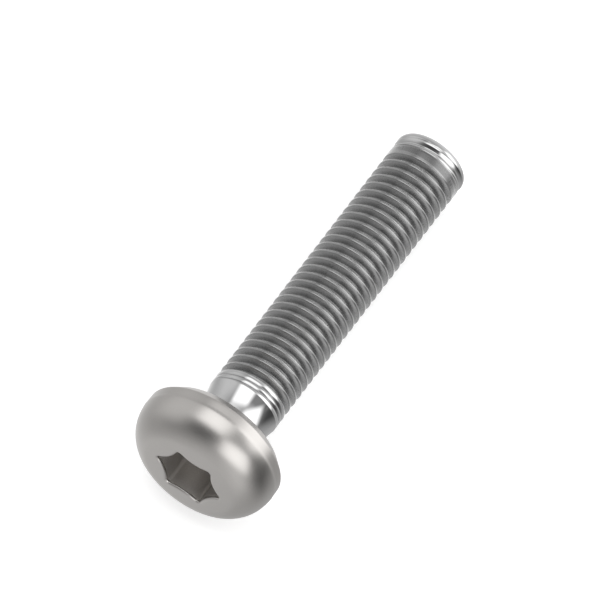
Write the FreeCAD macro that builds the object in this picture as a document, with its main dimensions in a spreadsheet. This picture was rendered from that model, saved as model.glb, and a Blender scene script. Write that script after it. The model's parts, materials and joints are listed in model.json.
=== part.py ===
import FreeCAD, Part
import math
import os
import Sketcher
from FreeCAD import Vector

# Pan head screw with a six-lobe socket, metric 6 by 30, in millimetres. The body is drawn
# upright: head up, its axis on Z and the centre of the flat bearing face under the head
# at the origin. It is then laid down as a dropped screw comes to rest, on the widest ring
# of the head and on the rounded edge of the tip, and the centre of the bearing face stays
# at the origin. Plus X runs from the head towards the tip. The threaded length is plain
# here, as wide as the crests of its fine thread.

LOBES = 6
LOBE_STEP = 360 / LOBES
FULL_TURN = 360
NEAR = 0.001

DRIVING_SIZES = [
    ("screw_length", 30.0, "bearing face to the end of the tip"),
    ("thread_diameter", 6.0, "across the crests of the thread"),
    ("plain_length", 3.15, "bearing face to the end of the plain neck"),
    ("neck_relief", 0.22, "depth of the plain neck's waist below the crests"),
    ("neck_flare", 1.65, "length over which the neck opens out to the thread"),
    ("neck_fillet", 0.3, "radius between the neck and the bearing face"),
    ("tip_radius", 0.6, "rounding of the edge of the tip"),
    ("head_diameter", 12.0, "widest ring of the head"),
    ("head_height", 4.65, "bearing face to the top of the crown"),
    ("bearing_diameter", 10.4, "outer edge of the flat bearing face"),
    ("bevel_height", 0.75, "bearing face to the top of the bevel around it"),
    ("side_radius", 4.4, "arc around the widest ring"),
    ("shoulder_radius", 2.9, "arc above the side"),
    ("brow_radius", 1.9, "arc that leads onto the crown"),
    ("side_angle", 75.0, "slope where the side meets the shoulder"),
    ("shoulder_angle", 35.0, "slope where the shoulder meets the brow"),
    ("brow_angle", 5.0, "slope where the brow meets the crown"),
    ("socket_width", 5.6, "across two opposite lobes"),
    ("socket_waist", 4.5, "across two opposite bumps"),
    ("lobe_radius", 0.3, "inner radius of a lobe"),
    ("socket_depth", 3.2, "crown to the edge of the socket floor"),
    ("floor_cone_depth", 0.5, "depth of the cone in the socket floor"),
    ("mouth_bevel", 0.12, "bevel around the mouth of the socket"),
    ("socket_turn", 21.7, "angle of the first lobe about the axis"),
]

# Sizes worked out from the driving ones. The head's outline is four arcs that meet
# smoothly. Each arc's centre is given as its distance out from the axis and its height.
WORKED_SIZES = [
    ("crest_radius", "sizes.thread_diameter / 2"),
    ("neck_radius", "crest_radius - sizes.neck_relief"),
    ("flare_radius", "(sizes.neck_flare ^ 2 + sizes.neck_relief ^ 2)"
     " / (2 * sizes.neck_relief)"),
    ("side_out", "sizes.head_diameter / 2 - sizes.side_radius"),
    ("shoulder_out", "side_out + (sizes.side_radius - sizes.shoulder_radius)"
     " * sin(sizes.side_angle)"),
    ("brow_out", "shoulder_out + (sizes.shoulder_radius - sizes.brow_radius)"
     " * sin(sizes.shoulder_angle)"),
    ("crown_radius", "brow_out / sin(sizes.brow_angle) + sizes.brow_radius"),
    ("crown_up", "sizes.head_height - crown_radius"),
    ("brow_up", "crown_up + (crown_radius - sizes.brow_radius) * cos(sizes.brow_angle)"),
    ("shoulder_up", "brow_up - (sizes.shoulder_radius - sizes.brow_radius)"
     " * cos(sizes.shoulder_angle)"),
    ("side_up", "shoulder_up - (sizes.side_radius - sizes.shoulder_radius)"
     " * cos(sizes.side_angle)"),
    ("bevel_out", "side_out + sqrt(sizes.side_radius ^ 2"
     " - (side_up - sizes.bevel_height) ^ 2)"),
    ("floor_up", "sizes.head_height - sizes.socket_depth"),
    ("lobe_out", "sizes.socket_width / 2 - sizes.lobe_radius"),
    ("lobe_ahead", f"lobe_out * cos({LOBE_STEP / 2})"),
    ("bump_radius", "(lobe_out ^ 2 + (sizes.socket_waist / 2) ^ 2"
     " - lobe_ahead * sizes.socket_waist - sizes.lobe_radius ^ 2)"
     " / (2 * sizes.lobe_radius - sizes.socket_waist + 2 * lobe_ahead)"),
    ("bump_out", "sizes.socket_waist / 2 + bump_radius"),
    ("rest_reach", "sizes.screw_length - sizes.tip_radius + side_up"),
    ("rest_drop", "side_out - (crest_radius - sizes.tip_radius)"),
    ("rest_tilt", "asin((sizes.side_radius - sizes.tip_radius)"
     " / sqrt(rest_reach ^ 2 + rest_drop ^ 2)) + atan(rest_drop / rest_reach)"),
]


def fill_sheet(doc, name, rows):
    """Write named rows into a new spreadsheet and give each value its alias."""
    sheet = doc.addObject("Spreadsheet::Sheet", name)
    for row, (alias, content, note) in enumerate(rows, start=1):
        sheet.set(f"A{row}", alias)
        sheet.set(f"B{row}", content)
        sheet.set(f"C{row}", note)
        sheet.setAlias(f"B{row}", alias)
    doc.recompute()
    return sheet


def origin_plane(body, role):
    """The plane or axis of the body's own origin that has this role."""
    return next(item for item in body.Origin.OriginFeatures if item.Role == role)


def new_sketch(body, name, role="XZ_Plane", lift=None):
    """An empty sketch on one of the body's origin planes, lifted by an expression."""
    sketch = body.newObject("Sketcher::SketchObject", name)
    sketch.AttachmentSupport = [(origin_plane(body, role), "")]
    sketch.MapMode = "FlatFace"
    if lift:
        sketch.setExpression("AttachmentOffset.Base.z", lift)
    body.Document.recompute()
    return sketch


def worth(sketch, expression):
    """The present value of an expression, as a bare number."""
    value = sketch.evalExpression(expression)
    return float(getattr(value, "Value", value))


def arc_between(start, end, radius, side):
    """The short arc from start to end whose centre lies left (1) or right (-1) of it."""
    chord = end - start
    middle = (start + end) / 2
    across = Vector(-chord.y, chord.x, 0).normalize()
    centre = middle + across * side * math.sqrt(radius ** 2 - chord.Length ** 2 / 4)
    first, last = (start, end) if side > 0 else (end, start)
    circle = Part.Circle(centre, Vector(0, 0, 1), radius)
    return Part.ArcOfCircle(circle, circle.parameter(first), circle.parameter(last))


def draw_outline(sketch, corners, rounds):
    """Draw a closed outline whose corners and radii stay bound to the sheets.

    corners holds an (x, y) pair of expressions for each corner. rounds maps the number
    of an edge to (radius expression, side of its centre); every other edge is straight.
    """
    points = [Vector(worth(sketch, x), worth(sketch, y), 0) for x, y in corners]
    ends = []
    for number, start in enumerate(points):
        end = points[(number + 1) % len(points)]
        if number in rounds:
            radius, side = rounds[number]
            edge = arc_between(start, end, worth(sketch, radius), side)
            ends.append((1, 2) if side > 0 else (2, 1))
        else:
            edge = Part.LineSegment(start, end)
            ends.append((1, 2))
        sketch.addGeometry(edge, False)
    count = len(points)
    for number in range(count):
        after = (number + 1) % count
        sketch.addConstraint(
            Sketcher.Constraint("Coincident", number, ends[number][1], after, ends[after][0])
        )
    for number, (x, y) in enumerate(corners):
        for kind, expression in (("DistanceX", x), ("DistanceY", y)):
            value = worth(sketch, expression)
            bind(sketch, Sketcher.Constraint(kind, -1, 1, number, ends[number][0], value),
                 expression)
    for number, (radius, side) in rounds.items():
        bind(sketch, Sketcher.Constraint("Radius", number, worth(sketch, radius)), radius)


def bind(sketch, constraint, expression):
    """Add a constraint and tie its value to an expression."""
    index = sketch.addConstraint(constraint)
    sketch.setExpression(f"Constraints[{index}]", expression)


def polar(out, angle):
    """Expressions for the x and y of a point at this distance and angle."""
    return f"({out}) * cos({angle})", f"({out}) * sin({angle})"


def revolve_blank(body):
    """Head, plain neck and unthreaded shank, turned about the axis in one piece."""
    sketch = new_sketch(body, "BlankOutline")
    below = "-sizes.plain_length"
    corners = [
        ("0", "-sizes.screw_length"),
        ("worked.crest_radius - sizes.tip_radius", "-sizes.screw_length"),
        ("worked.crest_radius", "sizes.tip_radius - sizes.screw_length"),
        ("worked.crest_radius", below),
        ("worked.neck_radius", "sizes.neck_flare - sizes.plain_length"),
        ("worked.neck_radius", "-sizes.neck_fillet"),
        ("worked.neck_radius + sizes.neck_fillet", "0"),
        ("sizes.bearing_diameter / 2", "0"),
        ("worked.bevel_out", "sizes.bevel_height"),
    ]
    arcs = [("side", "sizes.side_radius"), ("shoulder", "sizes.shoulder_radius"),
            ("brow", "sizes.brow_radius")]
    for name, radius in arcs:
        corners.append((
            f"worked.{name}_out + {radius} * sin(sizes.{name}_angle)",
            f"worked.{name}_up + {radius} * cos(sizes.{name}_angle)",
        ))
    corners.append(("0", "sizes.head_height"))
    rounds = {
        1: ("sizes.tip_radius", 1),
        3: ("worked.flare_radius", -1),
        5: ("sizes.neck_fillet", -1),
        8: ("sizes.side_radius", 1),
        9: ("sizes.shoulder_radius", 1),
        10: ("sizes.brow_radius", 1),
        11: ("worked.crown_radius", 1),
    }
    draw_outline(sketch, corners, rounds)
    blank = body.newObject("PartDesign::Revolution", "Blank")
    blank.Profile = sketch
    blank.ReferenceAxis = (origin_plane(body, "Z_Axis"), [""])
    blank.Angle = FULL_TURN
    body.Document.recompute()
    return blank


def cut_socket(body):
    """The six-lobe socket: straight walls, a cone in the floor and a bevelled mouth."""
    sketch = new_sketch(body, "SocketOutline", "XY_Plane", "worked.floor_up")
    corners = []
    rounds = {}
    for lobe in range(LOBES):
        middle = f"(sizes.socket_turn + {LOBE_STEP * lobe})"
        for sign in (-1, 1):
            lobe_x, lobe_y = polar("worked.lobe_out", middle)
            bump_x, bump_y = polar("worked.bump_out", f"({middle} + {sign * LOBE_STEP / 2})")
            share = "sizes.lobe_radius / (sizes.lobe_radius + worked.bump_radius)"
            corners.append((f"{lobe_x} + ({bump_x} - {lobe_x}) * {share}",
                            f"{lobe_y} + ({bump_y} - {lobe_y}) * {share}"))
        rounds[2 * lobe] = ("sizes.lobe_radius", 1)
        rounds[2 * lobe + 1] = ("worked.bump_radius", -1)
    draw_outline(sketch, corners, rounds)
    pocket = body.newObject("PartDesign::Pocket", "Socket")
    pocket.Profile = sketch
    pocket.setExpression("Length", "sizes.head_height")
    pocket.Reversed = True
    body.Document.recompute()

    cone_sketch = new_sketch(body, "FloorConeOutline")
    draw_outline(cone_sketch, [
        ("0", "worked.floor_up - sizes.floor_cone_depth"),
        ("sizes.socket_waist / 2", "worked.floor_up"),
        ("0", "worked.floor_up"),
    ], {})
    cone = body.newObject("PartDesign::Groove", "FloorCone")
    cone.Profile = cone_sketch
    cone.ReferenceAxis = (origin_plane(body, "Z_Axis"), [""])
    cone.Angle = FULL_TURN
    body.Document.recompute()
    return cone


def bevel_mouth(body):
    """Bevel the edges where the socket's walls come out through the crown."""
    base = body.Tip
    sizes = body.Document.getObject("sizes")
    reach = sizes.get("socket_width") / 2 + NEAR
    above = sizes.get("head_height") - sizes.get("socket_depth") / 2
    names = []
    for number, edge in enumerate(base.Shape.Edges, start=1):
        ends = [math.hypot(vertex.X, vertex.Y) for vertex in edge.Vertexes]
        if edge.BoundBox.ZMin > above and max(ends) < reach:
            names.append(f"Edge{number}")
    bevel = body.newObject("PartDesign::Chamfer", "MouthBevel")
    bevel.Base = (base, names)
    bevel.setExpression("Size", "sizes.mouth_bevel")
    body.Document.recompute()
    return bevel


def lay_down(body):
    """Turn the screw onto its side, tip a little lower, about the bearing face's centre."""
    on_its_side = FreeCAD.Rotation(Vector(0, -1, 0), 90)
    body.Placement = FreeCAD.Placement(Vector(0, 0, 0), on_its_side)
    body.setExpression("Placement.Rotation.Angle", "90 deg - worked.rest_tilt")


def build():
    doc = FreeCAD.newDocument("PanHeadScrew")
    fill_sheet(doc, "sizes", [(name, str(value), note) for name, value, note in DRIVING_SIZES])
    fill_sheet(doc, "worked", [
        (name, "=" + formula, "worked out") for name, formula in WORKED_SIZES
    ])
    body = doc.addObject("PartDesign::Body", "Screw")
    body.Label = "screw"
    revolve_blank(body)
    cut_socket(body)
    bevel_mouth(body)
    lay_down(body)
    doc.recompute()
    return doc, [body]


def write_steps(doc, bodies):
    """Check that everything computed, then write each body to its own STEP file."""
    for item in doc.Objects:
        faults = [state for state in item.State if state in ("Invalid", "Error")]
        if faults:
            raise RuntimeError(f"{item.Name} is {faults}")
    os.makedirs("parts", exist_ok=True)
    for body in bodies:
        if body.Shape.isNull() or not body.Shape.isValid():
            raise RuntimeError(f"{body.Label} has no valid shape")
        body.Shape.exportStep(f"parts/{body.Label}.step")


document, solids = build()
write_steps(document, solids)
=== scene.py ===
import json
import math
from collections import namedtuple

import bmesh
import bpy
from bpy.props import FloatProperty, FloatVectorProperty, PointerProperty
from bpy.types import Operator, Panel, PropertyGroup
from mathutils import Matrix, Vector


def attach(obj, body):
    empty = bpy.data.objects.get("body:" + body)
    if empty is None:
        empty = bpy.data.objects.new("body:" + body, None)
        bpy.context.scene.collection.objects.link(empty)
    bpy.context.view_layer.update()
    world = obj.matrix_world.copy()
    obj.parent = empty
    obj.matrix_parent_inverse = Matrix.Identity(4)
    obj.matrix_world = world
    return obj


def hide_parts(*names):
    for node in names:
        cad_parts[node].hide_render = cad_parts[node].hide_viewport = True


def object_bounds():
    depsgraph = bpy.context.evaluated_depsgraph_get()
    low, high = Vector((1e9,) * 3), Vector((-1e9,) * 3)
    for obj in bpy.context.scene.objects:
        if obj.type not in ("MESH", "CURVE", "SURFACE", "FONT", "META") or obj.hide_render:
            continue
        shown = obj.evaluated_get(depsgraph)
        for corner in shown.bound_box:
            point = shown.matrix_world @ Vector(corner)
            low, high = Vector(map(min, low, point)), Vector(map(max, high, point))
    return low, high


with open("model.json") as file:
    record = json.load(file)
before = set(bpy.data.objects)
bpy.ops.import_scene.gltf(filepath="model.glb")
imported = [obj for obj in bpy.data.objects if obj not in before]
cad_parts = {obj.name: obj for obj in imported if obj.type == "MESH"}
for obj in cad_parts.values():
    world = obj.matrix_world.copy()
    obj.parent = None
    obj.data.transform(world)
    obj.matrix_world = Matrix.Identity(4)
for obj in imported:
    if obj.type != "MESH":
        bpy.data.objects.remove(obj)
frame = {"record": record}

# A pan head screw with a six-lobe socket, metric 6 by 30 with a fine thread. The mesh is made
# upright, head up with its axis on Z and the bearing face at zero, and is then laid along the
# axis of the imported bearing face. Lengths are in metres.

bl_info = {
    "name": "Pan Head Screw",
    "version": (1, 0, 0),
    "blender": (4, 5, 0),
    "location": "3D View > Sidebar > Screw",
    "description": "Makes a six-lobe pan head screw with a rolled fine thread and its stage",
    "category": "Add Mesh",
}

CAD_NODE = "screw"
LOW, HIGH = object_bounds()
MM = 0.001

# The mesh has a column of points for each step round the lobes, and this many rows from one
# crest of the thread to the next. The groove's sides stand twice the half angle apart.
LOBES = 6
PER_LOBE = 20
COLUMNS = LOBES * PER_LOBE
ROWS_PER_TURN = 12
HALF_ANGLE = math.pi / 6

# Where the thread is only just rolled, a fine notch runs along it every half turn, and the land
# between two notches rises slightly towards the tip. These are the six rows from one notch to
# the next: their places as shares of half a pitch, and their depths as shares of the notch.
NOTCH_PLACES = (0.0, 0.12, 0.15, 0.5, 0.85, 0.88)
NOTCH_DEPTHS = (1.0, 0.5, 0.42, 0.21, 0.0, 0.08)

# The blank keeps a narrow hem on each side of the gap where the thread goes, and the thread's
# relief fades away over a short length next to it.
HEM = 0.02 * MM
FADE = 0.08 * MM

# Vertices closer than this are welded where the thread meets the blank, and the shank's steel
# starts this far past the bearing face.
WELD = 0.0006 * MM
SHANK_START = 0.02 * MM

# Zones over which one thing gives way to another, each as its two ends. From the end of the
# lead-in, the notches stop and the oiled thread begins, and their dull steel with its painted shade
# ends in one step.
NOTCHES_STOP = (0.28 * MM, 0.42 * MM)
NOTCH_SHADE_STOPS = 0.4 * MM
# From the end of the full thread, the crests' own steel stops, the notches come back, the last
# groove starts and the oil stops.
CREST_STEEL_STOPS = (-0.22 * MM, -0.1 * MM)
NOTCHES_RETURN = (0.25 * MM, 0.4 * MM)
LAST_GROOVE_STARTS = (0.4 * MM, 0.7 * MM)
OIL_STOPS = (0.45 * MM, 0.65 * MM)
# From the end of the last turn, the last groove stops.
LAST_GROOVE_STOPS = (-0.3 * MM, 0.0)
# Below the crests, the steel of the groove's sides turns to that of the crests, and the dull
# steel of a notch, painted dark as shade, to the bright steel between the notches.
CREST_EDGE = (-0.1 * MM, -0.02 * MM)
NOTCH_SHADE_EDGE = (-0.07 * MM, -0.01 * MM)

# The pale surroundings grow lighter in this direction, and darker from the horizon down to a
# depth below it, where only a share of their level is left.
SKY_SLOPE = (0.15, -0.35, -0.5)
GROUND_DEPTH = 0.45
GROUND_SHARE = 0.85
WHITE = (1.0, 1.0, 1.0, 1.0)

# Each light is a soft-edged window in the sky: the direction of its middle and its roll in
# degrees, its half sizes and the softness of its edge as shares of its distance, and its
# level. A level below that of the surroundings makes a dark card. A later light covers the
# ones before it.
Light = namedtuple("Light", "name azimuth elevation roll half_width half_height edge level")
LIGHTS = (
    Light("Fill from below", -90, -70, 0, 1.1, 0.8, 0.5, 0.6),
    Light("Fill from behind", 85, 30, -30, 0.6, 0.6, 0.45, 1.0),
    Light("Dark card on the left", 175, 60, -45, 0.4, 0.55, 0.4, 0.1),
    Light("Gap between the boxes", -80, 45, -10, 0.2, 0.55, 0.1, 0.4),
    Light("Dark card in front", -90, -10, -55, 0.6, 0.65, 0.5, 0.1),
    Light("Left box", -125, 30, 45, 0.4, 0.45, 0.15, 2.3),
    Light("Right box", -50, 20, 25, 0.4, 0.4, 0.15, 2.4),
    Light("Top box", 10, 80, 70, 0.4, 0.45, 0.15, 2.2),
)


def length(name, description, millimetres):
    """A size that the user can change, shown in the scene's unit of length."""
    return FloatProperty(
        name=name, description=description, default=millimetres * MM, min=0.0, unit="LENGTH",
        precision=6,
    )


def share(name, description, value, highest=1.0):
    """A bare number that the user can change."""
    return FloatProperty(name=name, description=description, default=value, min=0.0,
                         max=highest)


def colour(name, description, value):
    """A colour that the user can change."""
    return FloatVectorProperty(
        name=name, description=description, default=value, size=3, min=0.0, max=1.0,
        subtype="COLOR",
    )


def angle(name, description, degrees):
    """An angle that the user can change."""
    return FloatProperty(name=name, description=description, default=math.radians(degrees),
                         subtype="ANGLE")


class HeadSizes(PropertyGroup):
    """Sizes of the domed head and its socket."""

    head_height: length("Head height", "Bearing face to the top of the crown", 4.65)
    head_radius: length("Head radius", "Widest ring of the head", 6.0)
    side_radius: length("Side radius", "Arc around the widest ring", 4.4)
    shoulder_radius: length("Shoulder radius", "Arc above the side", 2.9)
    brow_radius: length("Brow radius", "Arc that leads onto the crown", 1.9)
    side_angle: angle("Side angle", "Slope where the side meets the shoulder", 75.0)
    shoulder_angle: angle("Shoulder angle", "Slope where the shoulder meets the brow", 35.0)
    brow_angle: angle("Brow angle", "Slope where the brow meets the crown", 5.0)
    bearing_radius: length("Bearing radius", "Outer edge of the flat bearing face", 5.2)
    bevel_height: length("Bevel height", "Height of the bevel around the bearing face", 0.75)
    band_height: length("Band height", "Height of the straight band above the bevel", 0.67)
    band_radius: length("Band radius", "Axis to the upper edge of the straight band", 5.971)
    foot_height: length("Foot height", "Height over which the side tucks in above the band", 0.25)
    foot_tuck: angle("Foot tuck", "Slope of the side away from the crown above the band", 3.0)
    crease_round: length("Crease rounding", "Rounding of the edge above the bevel", 0.065)
    bearing_round: length("Bearing rounding", "Rounding of the bearing face's edge", 0.05)
    socket_reach: length("Socket reach", "Axis to the far side of a lobe", 2.8)
    socket_waist: length("Socket waist", "Axis to the near side of a bump", 2.25)
    lobe_radius: length("Lobe radius", "Inner radius of a lobe", 0.3)
    socket_depth: length("Socket depth", "Crown to the edge of the socket floor", 3.2)
    socket_turn: angle("Socket turn", "Angle of the first lobe about the axis", 21.7)
    mouth_round: length("Mouth rounding", "Rounding around the mouth of the socket", 0.18)
    floor_fillet: length("Floor fillet", "Fillet between the socket's wall and floor", 0.12)
    cone_radius: length("Cone radius", "Edge of the cone in the socket floor", 2.0)
    cone_depth: length("Cone depth", "Depth of the cone in the socket floor", 0.5)


class ShankSizes(PropertyGroup):
    """Sizes of the neck, the thread and the tip."""

    screw_length: length("Length", "Bearing face to the end of the tip", 30.0)
    crest_radius: length("Crest radius", "Axis to the crests of the thread", 3.0)
    neck_radius: length("Neck radius", "Waist of the plain neck", 2.78)
    neck_fillet: length("Neck fillet", "Fillet between the neck and the bearing face", 0.3)
    neck_flare: length("Neck flare", "Length over which the neck opens to the thread", 1.65)
    plain_length: length("Plain length", "Bearing face to the end of the neck", 3.15)
    tip_radius: length("Tip radius", "Rounding of the edge of the tip", 0.6)
    pitch: length("Pitch", "From one crest of the thread to the next", 0.8114)
    groove_place: length("Groove place", "Bearing face to a groove, in line with the first lobe",
                         3.7036)
    thread_depth: length("Thread depth", "From the crests to the roots", 0.46)
    root_radius: length("Root radius", "Rounding at the bottom of the groove", 0.1)
    edge_round: length("Crest rounding", "Rounding of the crests' edges", 0.045)
    notch_depth: length("Notch depth", "Depth of the fine notches at the thread's ends", 0.085)
    lead_in: length("Lead-in", "Notched length after the neck", 0.75)
    run_in: length("Run-in", "Length over which the groove deepens after the lead-in", 0.5)
    run_out: length("Run-out", "Length over which the groove fades before the last turn", 0.6)
    last_turn: length("Last turn", "Length of the last turn before the tip", 1.4)
    last_share: share("Last share", "Depth of the last groove as a share of the full one", 0.35)


class Finishes(PropertyGroup):
    """Colours, gloss and fine marks of the steel."""

    head_colour: colour("Head colour", "Satin steel of the head", (0.44, 0.425, 0.41))
    head_roughness: share("Head roughness", "Blur of the head's reflections", 0.31)
    # Painted highlight: a lighter colour laid round the mouth of the socket, where its rounded rim
    # catches the light.
    painted_mouth_highlight_colour: colour("Edge colour", "Worn edge around the mouth of the socket",
                        (0.75, 0.74, 0.72))
    # Painted light: the socket's steel is lighter than the head's, standing in for light scattered
    # into the socket. Its higher roughness is the pressed finish.
    socket_painted_light_colour: colour("Socket colour", "Pressed steel inside the socket", (0.58, 0.56, 0.54))
    socket_roughness: share("Socket roughness", "Blur inside the socket", 0.42)
    shank_colour: colour("Shank colour", "Bright steel of the neck, crests and tip",
                         (0.5, 0.5, 0.5))
    shank_roughness: share("Shank roughness", "Blur of the shank's reflections", 0.06)
    crest_colour: colour("Crest colour", "Steel on the crests of the thread", (0.225, 0.225, 0.225))
    crest_roughness: share("Crest roughness", "Blur on the crests of the thread", 0.22)
    flank_colour: colour("Flank colour", "Dull steel on the sides of the groove",
                         (0.27, 0.27, 0.27))
    # Painted shade: the bottom of the groove is painted darker than its sides.
    root_painted_shade_colour: colour("Root colour", "Dark steel at the bottom of the groove",
                        (0.15, 0.15, 0.15))
    groove_roughness: share("Groove roughness", "Blur in the thread's groove", 0.28)
    grain_height: length("Grain height", "Height of the finest marks", 0.0012)


class StageSettings(PropertyGroup):
    """The floor, the light and the camera."""

    floor_colour: colour("Floor colour", "Pale floor under the screw", (0.8, 0.8, 0.8))
    floor_glow: share("Floor glow", "White added to the floor for the camera alone", 0.45)
    surround: share("Surround", "Level of the pale surroundings", 0.93, 4.0)
    light_level: share("Light level", "Strength of the whole studio", 1.0, 20.0)
    view_azimuth: angle("View azimuth", "Direction of the camera about the vertical", 302.8)
    view_elevation: angle("View elevation", "Height of the camera above the horizon", 63.0)
    view_width: length("View width", "Width of what the camera sees", 45.4545)
    aim_along: length("Aim along", "Bearing face to the point at the picture's centre", 13.389)
    aim_aside: length("Aim aside", "Axis to the point at the picture's centre", 1.473)


class Wire:
    """An output of a node. Sums on it add Math nodes to its tree."""

    def __init__(self, graph, socket):
        self.graph = graph
        self.socket = socket

    def __add__(self, other):
        return self.graph.math("ADD", self, other)

    def __sub__(self, other):
        return self.graph.math("SUBTRACT", self, other)

    def __rsub__(self, other):
        return self.graph.math("SUBTRACT", other, self)

    def __mul__(self, other):
        return self.graph.math("MULTIPLY", self, other)

    def __truediv__(self, other):
        return self.graph.math("DIVIDE", self, other)

    def __pow__(self, other):
        return self.graph.math("POWER", self, other)

    def __mod__(self, other):
        return self.graph.math("FLOORED_MODULO", self, other)

    def __gt__(self, other):
        return self.graph.math("GREATER_THAN", self, other)

    def __lt__(self, other):
        return self.graph.math("LESS_THAN", self, other)

    def __abs__(self):
        return self.graph.math("ABSOLUTE", self)

    __radd__ = __add__
    __rmul__ = __mul__


class Graph:
    """A node tree that is filled by calls and sums."""

    def __init__(self, tree):
        self.tree = tree
        tree.nodes.clear()

    def node(self, kind, settings=None, sockets=None, output=0):
        """Add a node, set it up, fill or link its sockets, and return one output."""
        made = self.tree.nodes.new(kind)
        for key, value in (settings or {}).items():
            setattr(made, key, value)
        for key, value in (sockets or {}).items():
            self.plug(made.inputs[key], value)
        return Wire(self, made.outputs[output]) if made.outputs else made

    def plug(self, target, value):
        """Link a wire to a socket, or set the socket's own value."""
        if isinstance(value, Wire):
            self.tree.links.new(value.socket, target)
        else:
            target.default_value = value

    def math(self, operation, *values):
        """A Math node on numbers and wires."""
        return self.node("ShaderNodeMath", {"operation": operation}, dict(enumerate(values)))

    def dot(self, vector, direction):
        """How far a vector reaches in a fixed direction."""
        return self.node("ShaderNodeVectorMath", {"operation": "DOT_PRODUCT"},
                         {0: vector, 1: tuple(direction)}, "Value")

    def vector(self, *parts):
        """A vector made of three numbers or wires."""
        return self.node("ShaderNodeCombineXYZ", sockets=dict(enumerate(parts)))

    def split(self, vector):
        """The three parts of a vector."""
        apart = self.tree.nodes.new("ShaderNodeSeparateXYZ")
        self.plug(apart.inputs[0], vector)
        return [Wire(self, output) for output in apart.outputs]

    def between(self, value, low, high, bottom=0.0, top=1.0):
        """Ease from bottom to top as the value goes from low to high."""
        return self.node("ShaderNodeMapRange", {"interpolation_type": "SMOOTHSTEP"},
                         {"Value": value, "From Min": low, "From Max": high,
                          "To Min": bottom, "To Max": top})

    def rise(self, value, place, zone):
        """Ease from 0 to 1 over a zone that is counted from a place."""
        return self.between(value, place + zone[0], place + zone[1])

    def fall(self, value, place, zone):
        """Ease from 1 to 0 over a zone that is counted from a place."""
        return self.between(value, place + zone[0], place + zone[1], 1.0, 0.0)

    def mix(self, factor, first, second):
        """A colour between two colours."""
        return self.node("ShaderNodeMix", {"data_type": "RGBA"},
                         {0: factor, 6: first, 7: second}, 2)

    def varied(self, factor, tint, spread):
        """A colour that grows from darker to lighter by this share either way."""
        return self.mix(factor, scaled(tint, 1 - spread), scaled(tint, 1 + spread))

    def noise(self, vector, size, detail=3.0):
        """Noise from 0 to 1 whose grains are about this size in metres."""
        return self.node("ShaderNodeTexNoise", sockets={
            "Vector": vector, "Scale": 1.0 / size, "Detail": detail})

    def rings(self, along, size):
        """Noise from 0 to 1 in bands across a single distance."""
        return self.node("ShaderNodeTexNoise", {"noise_dimensions": "1D"},
                         {"W": along, "Scale": 1.0 / size, "Detail": 2.0})

    def surface(self, tint, roughness, height, rise, oiled=None):
        """Finish the tree with metal of this tint, blur and relief, oiled where told."""
        relief = self.node("ShaderNodeBump", sockets={
            "Strength": 1.0, "Distance": rise, "Height": height})
        steel = {"Base Color": tint, "Metallic": 1.0, "Roughness": roughness, "Normal": relief}
        whole = self.node("ShaderNodeBsdfPrincipled", sockets=steel)
        if oiled is not None:
            film = self.node("ShaderNodeBsdfPrincipled", sockets={
                **steel, "Coat Weight": 0.8, "Coat Roughness": 0.2, "Sheen Weight": 1.0,
                "Sheen Roughness": 0.45})
            whole = self.node("ShaderNodeMixShader", sockets={0: oiled, 1: whole, 2: film})
        self.node("ShaderNodeOutputMaterial", sockets={"Surface": whole})

    def pick(self, index, values):
        """One of several numbers, by a whole-number index."""
        switch = self.tree.nodes.new("GeometryNodeIndexSwitch")
        switch.data_type = "FLOAT"
        while len(switch.index_switch_items) < len(values):
            switch.index_switch_items.new()
        self.plug(switch.inputs[0], index)
        for place, value in enumerate(values, start=1):
            switch.inputs[place].default_value = value
        return Wire(self, switch.outputs[0])


def arc(centre_out, centre_up, radius, start, end, steps):
    """Points (out, up) on an arc, by the slope of the surface from start to end."""
    return [
        (centre_out + radius * math.sin(turn), centre_up + radius * math.cos(turn))
        for turn in (start + (end - start) * step / steps for step in range(steps + 1))
    ]


def rounded(before, corner, after, reach, steps):
    """Points that round a corner between two straight or nearly straight runs."""
    corner = Vector(corner)
    first = corner + (Vector(before) - corner).normalized() * reach
    last = corner + (Vector(after) - corner).normalized() * reach
    points = []
    for step in range(steps + 1):
        part = step / steps
        points.append(tuple(
            first * (1 - part) ** 2 + corner * 2 * part * (1 - part) + last * part ** 2))
    return points


def quarter_turn(steps):
    """Angles from none to a quarter turn, both ends included."""
    return [math.pi / 2 * step / steps for step in range(steps + 1)]


def part_way(first, last, part):
    """The point at this share of the way from the first to the last."""
    return tuple(start + (end - start) * part for start, end in zip(first, last))


def neck_outline(shank):
    """Points from the bearing face round the fillet, down the neck and out to the thread."""
    fillet = shank.neck_fillet
    points = [(shank.neck_radius + fillet * (1 - math.sin(turn)), -fillet * (1 - math.cos(turn)))
              for turn in quarter_turn(6)]
    flare_start = shank.plain_length - shank.neck_flare
    points += [(shank.neck_radius, -flare_start * part) for part in (0.4, 0.8)]
    relief = shank.crest_radius - shank.neck_radius
    flare_radius = (shank.neck_flare ** 2 + relief ** 2) / (2 * relief)
    opening = math.asin(shank.neck_flare / flare_radius)
    # One more row, close to the last, keeps the shading of the edge crisp.
    points += [
        (shank.neck_radius + flare_radius * (1 - math.cos(turn)),
         -flare_start - flare_radius * math.sin(turn))
        for turn in (opening * step / 8 for step in (*range(8), 7.85, 8))
    ]
    points.append((shank.crest_radius, -shank.plain_length - HEM))
    return points


def heading(azimuth, elevation):
    """The direction at these angles, in degrees, about the vertical and above the horizon."""
    turn, lift = math.radians(azimuth), math.radians(elevation)
    return Vector((math.cos(turn) * math.cos(lift), math.sin(turn) * math.cos(lift),
                   math.sin(lift)))


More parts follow.
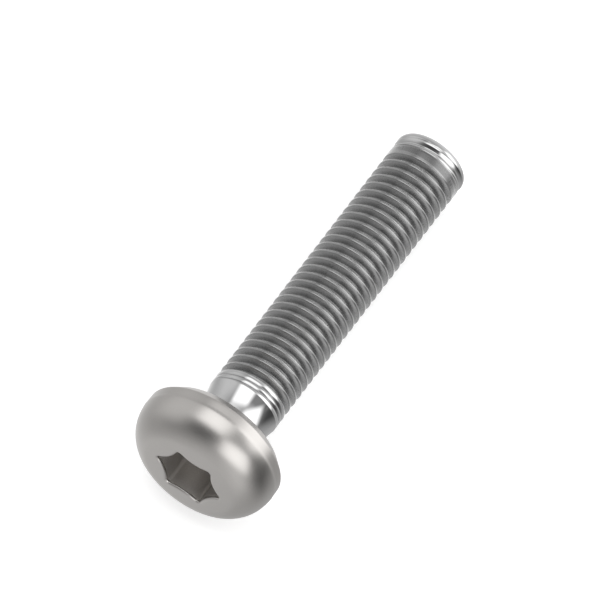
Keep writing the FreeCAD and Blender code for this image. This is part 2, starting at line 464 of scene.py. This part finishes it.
def lit(graph, ray, level, light):
    """Lay one soft window over the level so far."""
    middle = heading(light.azimuth, light.elevation)
    level_side = heading(light.azimuth + 90.0, 0.0)
    upward = middle.cross(level_side)
    roll = math.radians(light.roll)
    side = level_side * math.cos(roll) + upward * math.sin(roll)
    top = upward * math.cos(roll) - level_side * math.sin(roll)
    ahead = graph.dot(ray, middle)
    # What lies behind is masked out, so the distance only has to stay above zero.
    distance = graph.math("MAXIMUM", ahead, 0.001)
    mask = ahead > 0.0
    for direction, half in ((side, light.half_width), (top, light.half_height)):
        aside = abs(graph.dot(ray, direction)) / distance
        mask = mask * (1 - graph.between(aside, half - light.edge, half + light.edge))
    return level + (light.level - level) * mask


class HeadShape:
    """The head's outline, worked out from its sizes."""

    def __init__(self, sizes):
        self.sizes = sizes
        self.side_out = sizes.head_radius - sizes.side_radius
        self.shoulder_out = self.side_out + (
            sizes.side_radius - sizes.shoulder_radius) * math.sin(sizes.side_angle)
        self.brow_out = self.shoulder_out + (
            sizes.shoulder_radius - sizes.brow_radius) * math.sin(sizes.shoulder_angle)
        self.crown_radius = self.brow_out / math.sin(sizes.brow_angle) + sizes.brow_radius
        self.crown_up = sizes.head_height - self.crown_radius
        self.brow_up = self.crown_up + (
            self.crown_radius - sizes.brow_radius) * math.cos(sizes.brow_angle)
        self.shoulder_up = self.brow_up - (
            sizes.shoulder_radius - sizes.brow_radius) * math.cos(sizes.shoulder_angle)
        self.side_up = self.shoulder_up - (
            sizes.side_radius - sizes.shoulder_radius) * math.cos(sizes.side_angle)
        drop = self.side_up - sizes.bevel_height
        self.bevel_out = self.side_out + math.sqrt(sizes.side_radius ** 2 - drop ** 2)
        foot_up = sizes.bevel_height + sizes.band_height + sizes.foot_height
        self.foot_slope = math.acos((foot_up - self.side_up) / sizes.side_radius)
        self.crown_edge = self.crown_radius * math.sin(sizes.brow_angle)

    def crown(self, out):
        """Height of the crown at a distance from the axis."""
        return self.crown_up + math.sqrt(self.crown_radius ** 2 - out ** 2)

    def outline(self, shank):
        """Points from the edge of the crown, round the side and down to the thread."""
        sizes = self.sizes
        points = arc(self.brow_out, self.brow_up, sizes.brow_radius,
                     sizes.brow_angle, sizes.shoulder_angle, steps=8)
        points += arc(self.shoulder_out, self.shoulder_up, sizes.shoulder_radius,
                      sizes.shoulder_angle, sizes.side_angle, steps=14)[1:]
        points += arc(self.side_out, self.side_up, sizes.side_radius,
                      sizes.side_angle, self.foot_slope, steps=5)[1:]
        crease = (self.bevel_out, sizes.bevel_height)
        band = (sizes.band_radius, sizes.bevel_height + sizes.band_height)
        # The tuck is rounded over nearly the whole height of the foot.
        reach = sizes.foot_height * 0.48
        tuck = (band[0] + reach * math.tan(sizes.foot_tuck), band[1] + reach)
        rim = (sizes.bearing_radius, 0.0)
        neck = (shank.neck_radius + shank.neck_fillet, 0.0)
        points += rounded(points[-1], tuck, band, reach, steps=5)
        points += [part_way(crease, band, part) for part in (0.985, 0.7, 0.4)]
        points += rounded(points[-1], crease, rim, sizes.crease_round, steps=4)
        points += rounded(crease, rim, neck, sizes.bearing_round, steps=4)
        points += [part_way(rim, neck, part) for part in (0.3, 0.7)]
        return points + neck_outline(shank)


def spun(flat, turn):
    """A flat vector turned anticlockwise."""
    return Vector((flat.x * math.cos(turn) - flat.y * math.sin(turn),
                   flat.x * math.sin(turn) + flat.y * math.cos(turn)))


def socket_outline(sizes):
    """Points and outward directions round the six lobes, starting at a lobe's middle."""
    lobe_out = sizes.socket_reach - sizes.lobe_radius
    half = math.pi / LOBES
    bump_radius = (
        lobe_out ** 2 + sizes.socket_waist ** 2
        - 2 * lobe_out * sizes.socket_waist * math.cos(half) - sizes.lobe_radius ** 2
    ) / (2 * (sizes.lobe_radius - sizes.socket_waist + lobe_out * math.cos(half)))
    bump = Vector((math.cos(half), math.sin(half))) * (sizes.socket_waist + bump_radius)
    lobe = Vector((lobe_out, 0.0))
    to_bump = bump - lobe
    lobe_span = math.atan2(to_bump.y, to_bump.x)
    # Half steps put the joint of a lobe and a bump in the middle of a face.
    half_points = PER_LOBE // 2
    in_lobe = half_points // 2
    side = []
    for step in range(in_lobe):
        turn = lobe_span * step / (in_lobe - 0.5)
        away = Vector((math.cos(turn), math.sin(turn)))
        side.append((lobe + away * sizes.lobe_radius, away))
    in_bump = half_points - in_lobe
    inward = math.atan2(-to_bump.y, -to_bump.x)
    middle = half + math.pi
    if inward < 0:
        inward += 2 * math.pi
    for step in range(in_bump + 1):
        turn = inward + (middle - inward) * (step + 0.5) / (in_bump + 0.5)
        away = Vector((math.cos(turn), math.sin(turn)))
        side.append((bump + away * bump_radius, -away))
    mirror = [(Vector((point.x, -point.y)), Vector((away.x, -away.y)))
              for point, away in side[1:-1]]
    points = []
    for number in range(LOBES):
        turn = 2 * half * number + sizes.socket_turn
        ahead = turn + 2 * half
        points += [(spun(point, turn), spun(away, turn)) for point, away in side]
        points += [(spun(point, ahead), spun(away, ahead)) for point, away in reversed(mirror)]
    return points


def add_ring(mesh, places):
    """Add a vertex at each place."""
    return [mesh.verts.new(place) for place in places]


def skin(mesh, rings):
    """Join each ring to the next one by a band of faces."""
    for upper, lower in zip(rings[:-1], rings[1:]):
        for number in range(COLUMNS):
            after = (number + 1) % COLUMNS
            mesh.faces.new((upper[number], lower[number], lower[after], upper[after]))


def close(mesh, ring, up):
    """Close a ring with a fan to a point on the axis."""
    middle = mesh.verts.new((0.0, 0.0, up))
    for number in range(len(ring)):
        mesh.faces.new((ring[number], ring[(number + 1) % len(ring)], middle))


def circle(turn, out, up):
    """A ring of points about the axis, one for each column."""
    steps = (turn + 2 * math.pi * column / COLUMNS for column in range(COLUMNS))
    return [(out * math.cos(step), out * math.sin(step), up) for step in steps]


def socket_rings(shape):
    """Rings from the middle of the socket floor up over the mouth to the crown's edge."""
    sizes = shape.sizes
    outline = socket_outline(sizes)
    turn = sizes.socket_turn
    floor_up = sizes.head_height - sizes.socket_depth

    def follow(offset, height):
        ring = []
        for point, away in outline:
            place = point + away * offset
            ring.append((place.x, place.y, height(place.length)))
        return ring

    rings = [circle(turn, sizes.cone_radius * part, floor_up - sizes.cone_depth * (1 - part))
             for part in (0.04, 0.35, 0.7, 0.96, 1.0)]
    fillet = sizes.floor_fillet
    for bend in quarter_turn(4):
        up = floor_up + fillet * (1 - math.cos(bend))
        rings.append(follow(-fillet * (1 - math.sin(bend)), lambda out: up))
    rings.append(follow(0.0, lambda out: (floor_up + shape.crown(out)) / 2))
    edge = sizes.mouth_round
    for bend in quarter_turn(5):
        drop = edge * (1 - math.sin(bend))
        rings.append(follow(edge * (1 - math.cos(bend)), lambda out: shape.crown(out) - drop))
    rim = [Vector(place[:2]) for place in rings[-1]]
    border = [Vector(place[:2]) for place in circle(turn, shape.crown_edge, 0.0)]
    for part in (0.06, 0.3, 0.65):
        ring = []
        for near, far in zip(rim, border):
            place = near.lerp(far, part)
            ring.append((place.x, place.y, shape.crown(place.length)))
        rings.append(ring)
    return rings


def make_blank(shape, shank):
    """The head, the neck and the tip, with an open gap where the thread goes."""
    mesh = bmesh.new()
    head = shape.sizes
    turn = head.socket_turn
    rings = [add_ring(mesh, places) for places in socket_rings(shape)]
    rings += [add_ring(mesh, circle(turn, out, up)) for out, up in shape.outline(shank)]
    skin(mesh, rings)
    close(mesh, rings[0], head.head_height - head.socket_depth - head.cone_depth)
    end_out = shank.crest_radius - shank.tip_radius
    tip_up = shank.tip_radius - shank.screw_length
    tip = [(shank.crest_radius, tip_up + HEM)]
    tip += arc(end_out, tip_up, shank.tip_radius, math.pi / 2, math.pi, steps=10)
    tip += [(end_out * part, -shank.screw_length) for part in (0.97, 0.5)]
    tip_rings = [add_ring(mesh, circle(turn, out, up)) for out, up in tip]
    skin(mesh, tip_rings)
    close(mesh, tip_rings[-1], -shank.screw_length)
    data = bpy.data.meshes.new("screw_blank")
    mesh.to_mesh(data)
    mesh.free()
    return data


def groove_profile(graph, value, index):
    """How far a row lies from the middle of the groove, and how deep, by its number from there.

    Rows 0 to 2 lie on the arc at the root, 3 to 5 round the edge of the crest, and 6 in the
    middle of the crest.
    """
    root, edge = value["Root radius"], value["Crest rounding"]
    slant = math.cos(HALF_ANGLE)
    corner = root * slant + (value["Depth"] - root * 0.5) * math.tan(HALF_ANGLE)
    aside = root * graph.pick(index, (0.0, 0.5, slant, 0.0, 0.0, 0.0, 0.0))
    aside = aside + corner * graph.pick(index, (0.0, 0.0, 0.0, 1.0, 1.0, 1.0, 0.0))
    aside = aside + edge * graph.pick(index, (0.0, 0.0, 0.0, -0.5, 0.125, 1.0, 0.0))
    aside = aside + value["Pitch"] * graph.pick(index, (0.0, 0.0, 0.0, 0.0, 0.0, 0.0, 0.5))
    deep = value["Depth"] * graph.pick(index, (1.0, 1.0, 1.0, 0.0, 0.0, 0.0, 0.0))
    deep = deep - root * graph.pick(index, (0.0, 1 - slant, 0.5, 0.0, 0.0, 0.0, 0.0))
    deep = deep + edge * graph.pick(index, (0.0, 0.0, 0.0, slant, slant / 4, 0.0, 0.0))
    return aside, deep


def thread_tree():
    """Geometry nodes that roll a right-hand thread into the gap of the blank."""
    tree = bpy.data.node_groups.new("Rolled thread", "GeometryNodeTree")
    tree.is_modifier = True
    face = tree.interface
    face.new_socket("Geometry", in_out="INPUT", socket_type="NodeSocketGeometry")
    names = ("Pitch", "Depth", "Crest radius", "Root radius", "Crest rounding", "First groove",
             "Start", "End", "Notch depth", "Lead-in", "Run-in", "Run-out", "Last turn",
             "Last share", "Turn", "Turns")
    for name in names:
        face.new_socket(name, in_out="INPUT", socket_type="NodeSocketFloat")
    for name in ("Head finish", "Shank finish"):
        face.new_socket(name, in_out="INPUT", socket_type="NodeSocketMaterial")
    face.new_socket("Geometry", in_out="OUTPUT", socket_type="NodeSocketGeometry")
    graph = Graph(tree)
    given = tree.nodes.new("NodeGroupInput")
    value = {name: Wire(graph, given.outputs[name])
             for name in (*names, "Geometry", "Head finish", "Shank finish")}

    rows = value["Turns"] * ROWS_PER_TURN
    grid = graph.node("GeometryNodeMeshGrid", sockets={
        "Size X": rows, "Size Y": float(COLUMNS), "Vertices X": rows + 1,
        "Vertices Y": COLUMNS + 1})
    grid_x, grid_y, up = graph.split(graph.node("GeometryNodeInputPosition"))
    row = graph.math("ROUND", grid_x + rows * 0.5)
    column = graph.math("ROUND", grid_y + COLUMNS / 2)
    in_turn = row % ROWS_PER_TURN
    turn = graph.math("FLOOR", row / ROWS_PER_TURN)
    groove = value["First groove"] + value["Pitch"] * (turn - column / COLUMNS)

    start, end = value["Start"], value["End"]
    full_from = start + value["Lead-in"]
    full_to = end - value["Last turn"]
    run_in = graph.between(groove, full_from, full_from + value["Run-in"])
    run_out = graph.between(groove, full_to - value["Run-out"], full_to, 1.0, 0.0)
    last = graph.rise(groove, full_to, LAST_GROOVE_STARTS) * (
        graph.fall(groove, end, LAST_GROOVE_STOPS))
    rolled = run_in * run_out + last * value["Last share"]

    from_root = in_turn - ROWS_PER_TURN // 2
    aside, deep = groove_profile(graph, value, abs(from_root))
    rolled_along = groove + aside * graph.math("SIGN", from_root)

    ahead = graph.pick(in_turn, [place - 1.0 for place in NOTCH_PLACES] + [*NOTCH_PLACES])
    notched_along = groove + ahead * value["Pitch"] * 0.5
    full = graph.rise(notched_along, full_from, NOTCHES_STOP) * (
        graph.fall(notched_along, full_to, NOTCHES_RETURN))
    notch = graph.pick(in_turn, NOTCH_DEPTHS * 2) * value["Notch depth"] * (1 - full)

    along = notched_along + (rolled_along - notched_along) * rolled
    relief = (notch + (deep - notch) * rolled) * (
        graph.rise(along, start, (0.0, FADE)) * graph.fall(along, end, (-FADE, 0.0)))
    out = value["Crest radius"] - relief
    along = graph.math("MINIMUM", graph.math("MAXIMUM", along, start), end)
    around = value["Turn"] + column * (2 * math.pi / COLUMNS)
    wound = graph.vector(out * graph.math("COSINE", around), out * graph.math("SINE", around),
                         along * -1.0)
    thread = graph.node("GeometryNodeSetPosition", sockets={"Geometry": grid, "Position": wound})
    both = tree.nodes.new("GeometryNodeJoinGeometry")
    tree.links.new(value["Geometry"].socket, both.inputs[0])
    tree.links.new(thread.socket, both.inputs[0])
    welded = graph.node("GeometryNodeMergeByDistance", sockets={
        "Geometry": Wire(graph, both.outputs[0]), "Distance": WELD})
    smooth = graph.node("GeometryNodeSetShadeSmooth", sockets={"Geometry": welded})
    real = graph.node("GeometryNodeRealizeInstances", sockets={"Geometry": smooth})
    headed = graph.node("GeometryNodeSetMaterial", sockets={
        "Geometry": real, "Material": value["Head finish"]})
    shanked = graph.node("GeometryNodeSetMaterial", sockets={
        "Geometry": headed, "Selection": up < -SHANK_START, "Material": value["Shank finish"]})
    result = tree.nodes.new("NodeGroupOutput")
    tree.links.new(shanked.socket, result.inputs[0])
    return tree


def set_inputs(modifier, values):
    """Set a node modifier's inputs by the identifier of each named socket."""
    for item in modifier.node_group.interface.items_tree:
        if item.in_out == "INPUT" and item.name in values:
            modifier[item.identifier] = values[item.name]


def scaled(tint, factor):
    """A colour made lighter or darker, with its alpha."""
    return (*(part * factor for part in tint), 1.0)


def places(graph):
    """Distances across and beside the axis, along it from the bearing face, and off it."""
    place = graph.node("ShaderNodeTexCoord", output="Object")
    turn = lying().inverted()
    across, aside, up = (graph.dot(place, turn[row][:3]) for row in range(3))
    out = (across * across + aside * aside) ** 0.5
    return across, aside, up * -1.0, out


def head_finish(finishes, head):
    """Satin steel of the head: fine grain, faint rings of turning, a duller socket painted lighter
    as painted light, and a painted highlight round its mouth.
    """
    material = bpy.data.materials.new("satin_head_steel")
    material.use_nodes = True
    graph = Graph(material.node_tree)
    across, aside, along, out = places(graph)
    place = graph.vector(across, aside, along)
    grain = graph.noise(place, size=0.11 * MM)
    cloud = graph.noise(place, size=1.4 * MM, detail=2.0)
    turned = graph.rings(out + along, size=0.09 * MM)
    mouth = head.mouth_round - head.head_height
    inside = (head.socket_reach + head.mouth_round > out) * graph.between(
        along, mouth, mouth + head.mouth_round)
    shade = grain * 0.5 + cloud * 0.3 + turned * 0.2
    satin = graph.varied(shade, finishes.head_colour, 0.1)
    # Painted light: the socket is painted lighter than the head's steel.
    socket_painted_light = graph.varied(grain, finishes.socket_painted_light_colour, 0.15)
    # Painted highlight: the band over the mouth's rounding takes the lighter rim colour. The band
    # is also made less rough, which is real polish.
    edge = inside * (1 - inside) * 4
    tint = graph.mix(edge * 0.7, graph.mix(inside, satin, socket_painted_light),
                     scaled(finishes.painted_mouth_highlight_colour, 1.0))
    roughness = finishes.head_roughness + (grain - 0.5) * 0.08 + (cloud - 0.5) * 0.06
    roughness = roughness + (finishes.socket_roughness - roughness) * inside
    roughness = roughness * (1 - edge * 0.5)
    graph.surface(tint, roughness, grain * 0.7 + turned * 0.3, finishes.grain_height)
    return material


def shank_finish(finishes, shank):
    """Bright steel with fine turning marks, and a duller groove with marks of the dies, painted
    darker towards its root and in the notches as painted shade.
    """
    material = bpy.data.materials.new("bright_shank_steel")
    material.use_nodes = True
    graph = Graph(material.node_tree)
    across, aside, along, out = places(graph)
    grain = graph.noise(graph.vector(across, aside, along), size=0.1 * MM)
    streak = graph.noise(graph.vector(across, aside, along * 0.2), size=0.09 * MM)
    turned = graph.rings(along, size=0.05 * MM)
    full_from = shank.plain_length + shank.lead_in
    full_to = shank.screw_length - shank.tip_radius - shank.last_turn
    before = graph.fall(along, full_to, CREST_STEEL_STOPS)
    crest = before * graph.rise(out, shank.crest_radius, CREST_EDGE)
    # Painted shade: the notches take the dark root colour, along with the thread's roughness and
    # oil.
    notch = (along > shank.plain_length) * (along < full_from + NOTCH_SHADE_STOPS) * (
        graph.fall(out, shank.crest_radius, NOTCH_SHADE_EDGE))
    # Painted shade: the flank mask below makes the groove darker towards its root.
    low, high = (shank.crest_radius - shank.thread_depth * part for part in (0.9, 0.1))
    flank = before * graph.between(out, low, high) * (1 - notch)
    thread = graph.rise(along, full_from, NOTCHES_STOP) * graph.fall(along, full_to, OIL_STOPS)
    thread = graph.math("MAXIMUM", thread, notch)
    bright = graph.varied(grain, finishes.shank_colour, 0.05)
    mark = streak * 0.7 + grain * 0.3
    # Painted shade at the root of the groove and in the notches.
    root = graph.varied(mark * (before * 0.7 + 0.3), finishes.root_painted_shade_colour, 0.3)
    side = graph.varied(mark, finishes.flank_colour, 0.3)
    top = graph.varied(grain, finishes.crest_colour, 0.15)
    rolled = graph.mix(crest, graph.mix(flank, root, side), top)
    plain_blur = finishes.shank_roughness + (grain - 0.5) * 0.03
    dull_blur = finishes.groove_roughness + (streak - 0.5) * 0.12
    thread_blur = dull_blur + (finishes.crest_roughness - dull_blur) * crest
    roughness = plain_blur + (thread_blur - plain_blur) * thread
    groove = thread * (1 - crest)
    fine = turned * 0.06
    relief = fine + (streak * 1.2 - fine) * groove
    graph.surface(graph.mix(thread, bright, rolled), roughness, relief, finishes.grain_height,
                  thread)
    return material


def screw_axis():
    """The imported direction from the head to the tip."""
    mount = next(item for item in frame["record"]["mounts"] if item["name"] == "bearing_face")
    return Vector(mount["axis"]).normalized()


def lying():
    """The turn that lays the upright screw along its packed axis."""
    upward = -screw_axis()
    across = Vector((0.0, 1.0, 0.0))
    first = across.cross(upward)
    return Matrix((first, across, upward)).transposed().to_4x4()


class SCREW_OT_make_screw(Operator):
    """Make the screw as one closed piece"""

    bl_idname = "screw.make_screw"
    bl_label = "Make Screw"

    def execute(self, context):
        head = context.scene.screw_head
        shank = context.scene.screw_shank
        finishes = context.scene.screw_finishes
        start = shank.plain_length + HEM
        end = shank.screw_length - shank.tip_radius - HEM
        # Some turns more than fit: those past the two ends are drawn onto them.
        turns = math.ceil((end - start) / shank.pitch) + 3
        blank = bpy.data.objects.new("screw_blank", make_blank(HeadShape(head), shank))
        context.scene.collection.objects.link(blank)
        modifier = blank.modifiers.new("Rolled thread", "NODES")
        modifier.node_group = thread_tree()
        set_inputs(modifier, {
            "Pitch": shank.pitch, "Depth": shank.thread_depth,
            "Crest radius": shank.crest_radius, "Root radius": shank.root_radius,
            "Crest rounding": shank.edge_round, "Start": start, "End": end,
            "First groove": start - (start - shank.groove_place) % shank.pitch,
            "Notch depth": shank.notch_depth, "Lead-in": shank.lead_in, "Run-in": shank.run_in,
            "Run-out": shank.run_out, "Last turn": shank.last_turn,
            "Last share": shank.last_share, "Turn": head.socket_turn,
            "Turns": float(turns),
            "Head finish": head_finish(finishes, head),
            "Shank finish": shank_finish(finishes, shank),
        })
        evaluated = blank.evaluated_get(context.evaluated_depsgraph_get())
        data = bpy.data.meshes.new_from_object(evaluated)
        bpy.data.objects.remove(blank)
        whole = bmesh.new()
        whole.from_mesh(data)
        bmesh.ops.recalc_face_normals(whole, faces=whole.faces)
        whole.transform(lying())
        whole.to_mesh(data)
        whole.free()
        data.name = "pan_head_screw"
        piece = bpy.data.objects.new("pan_head_screw", data)
        context.scene.collection.objects.link(piece)
        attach(piece, "root")
        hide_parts(CAD_NODE)
        return {"FINISHED"}


class SCREW_OT_make_stage(Operator):
    """Make the floor, the light and the camera"""

    bl_idname = "screw.make_stage"
    bl_label = "Make Stage"

    def execute(self, context):
        stage = context.scene.screw_stage
        self.make_floor(context, stage)
        self.make_world(context, stage)
        self.make_camera(context, stage)
        return {"FINISHED"}

    def make_floor(self, context, stage):
        reach = 0.5
        floor_up = LOW.z
        data = bpy.data.meshes.new("floor")
        data.from_pydata([(-reach, -reach, floor_up), (reach, -reach, floor_up),
                          (reach, reach, floor_up), (-reach, reach, floor_up)],
                         [], [(0, 1, 2, 3)])
        floor = bpy.data.objects.new("floor", data)
        context.scene.collection.objects.link(floor)
        material = bpy.data.materials.new("pale_floor")
        material.use_nodes = True
        graph = Graph(material.node_tree)
        seen = graph.node("ShaderNodeLightPath")
        glow = graph.node("ShaderNodeEmission", sockets={
            "Color": WHITE, "Strength": seen * stage.floor_glow})
        plain = graph.node("ShaderNodeBsdfDiffuse", sockets={
            "Color": (*stage.floor_colour, 1.0)})
        both = graph.node("ShaderNodeAddShader", sockets={0: plain, 1: glow})
        graph.node("ShaderNodeOutputMaterial", sockets={"Surface": both})
        data.materials.append(material)
        floor.visible_glossy = False
        floor.visible_shadow = False

    def make_world(self, context, stage):
        world = bpy.data.worlds.new("pale_studio")
        context.scene.world = world
        world.use_nodes = True
        world.cycles.sampling_method = "MANUAL"
        world.cycles.sample_map_resolution = 256
        graph = Graph(world.node_tree)
        seen = graph.node("ShaderNodeLightPath")
        ray = graph.node("ShaderNodeTexCoord")
        level = graph.dot(ray, SKY_SLOPE) + stage.surround
        upward = graph.dot(ray, (0.0, 0.0, 1.0))
        level = level * graph.between(upward, -GROUND_DEPTH, 0.0, GROUND_SHARE, 1.0)
        for light in LIGHTS:
            level = lit(graph, ray, level, light)
        level = graph.math("MAXIMUM", level, 0.0) * stage.light_level
        studio = graph.node("ShaderNodeBackground", sockets={"Color": WHITE, "Strength": level})
        white = graph.node("ShaderNodeBackground", sockets={"Color": WHITE, "Strength": 1.0})
        mixed = graph.node("ShaderNodeMixShader", sockets={0: seen, 1: studio, 2: white})
        graph.node("ShaderNodeOutputWorld", sockets={"Surface": mixed})

    def make_camera(self, context, stage):
        data = bpy.data.cameras.new("camera")
        data.type = "ORTHO"
        data.ortho_scale = stage.view_width
        data.clip_start = 0.001
        data.clip_end = 2.0
        camera = bpy.data.objects.new("camera", data)
        context.scene.collection.objects.link(camera)
        flat = math.cos(stage.view_elevation)
        back = Vector((math.sin(stage.view_azimuth) * flat,
                       -math.cos(stage.view_azimuth) * flat,
                       math.sin(stage.view_elevation)))
        distance = 0.3
        axis = screw_axis()
        aside = axis.cross(back).normalized()
        aim = axis * stage.aim_along - aside * stage.aim_aside
        camera.location = aim + back * distance
        camera.rotation_mode = "QUATERNION"
        camera.rotation_quaternion = (-back).to_track_quat("-Z", "Y")
        context.scene.camera = camera


class SCREW_PT_panel(Panel):
    """Sizes, finishes and stage of the screw"""

    bl_idname = "SCREW_PT_panel"
    bl_label = "Pan Head Screw"
    bl_space_type = "VIEW_3D"
    bl_region_type = "UI"
    bl_category = "Screw"

    def draw(self, context):
        groups_of = {"screw.make_screw": ("screw_head", "screw_shank", "screw_finishes"),
                     "screw.make_stage": ("screw_stage",)}
        for operator, groups in groups_of.items():
            box = self.layout.box()
            box.operator(operator)
            for group in groups:
                settings = getattr(context.scene, group)
                for name in settings.__annotations__:
                    box.prop(settings, name)


CLASSES = (HeadSizes, ShankSizes, Finishes, StageSettings, SCREW_OT_make_screw,
           SCREW_OT_make_stage, SCREW_PT_panel)
GROUPS = {"screw_head": HeadSizes, "screw_shank": ShankSizes, "screw_finishes": Finishes,
          "screw_stage": StageSettings}


def register():
    """Add the classes, and their settings to the scene."""
    for item in CLASSES:
        bpy.utils.register_class(item)
    for name, group in GROUPS.items():
        setattr(bpy.types.Scene, name, PointerProperty(type=group))


def unregister():
    """Take the settings and the classes away again."""
    for name in GROUPS:
        delattr(bpy.types.Scene, name)
    for item in reversed(CLASSES):
        bpy.utils.unregister_class(item)


def main():
    """Make the screw and its stage."""
    register()
    bpy.ops.screw.make_screw()
    bpy.ops.screw.make_stage()
    bpy.context.scene.view_settings.view_transform = "Standard"
    bpy.context.view_layer.update()


if __name__ == "__main__":
    main()
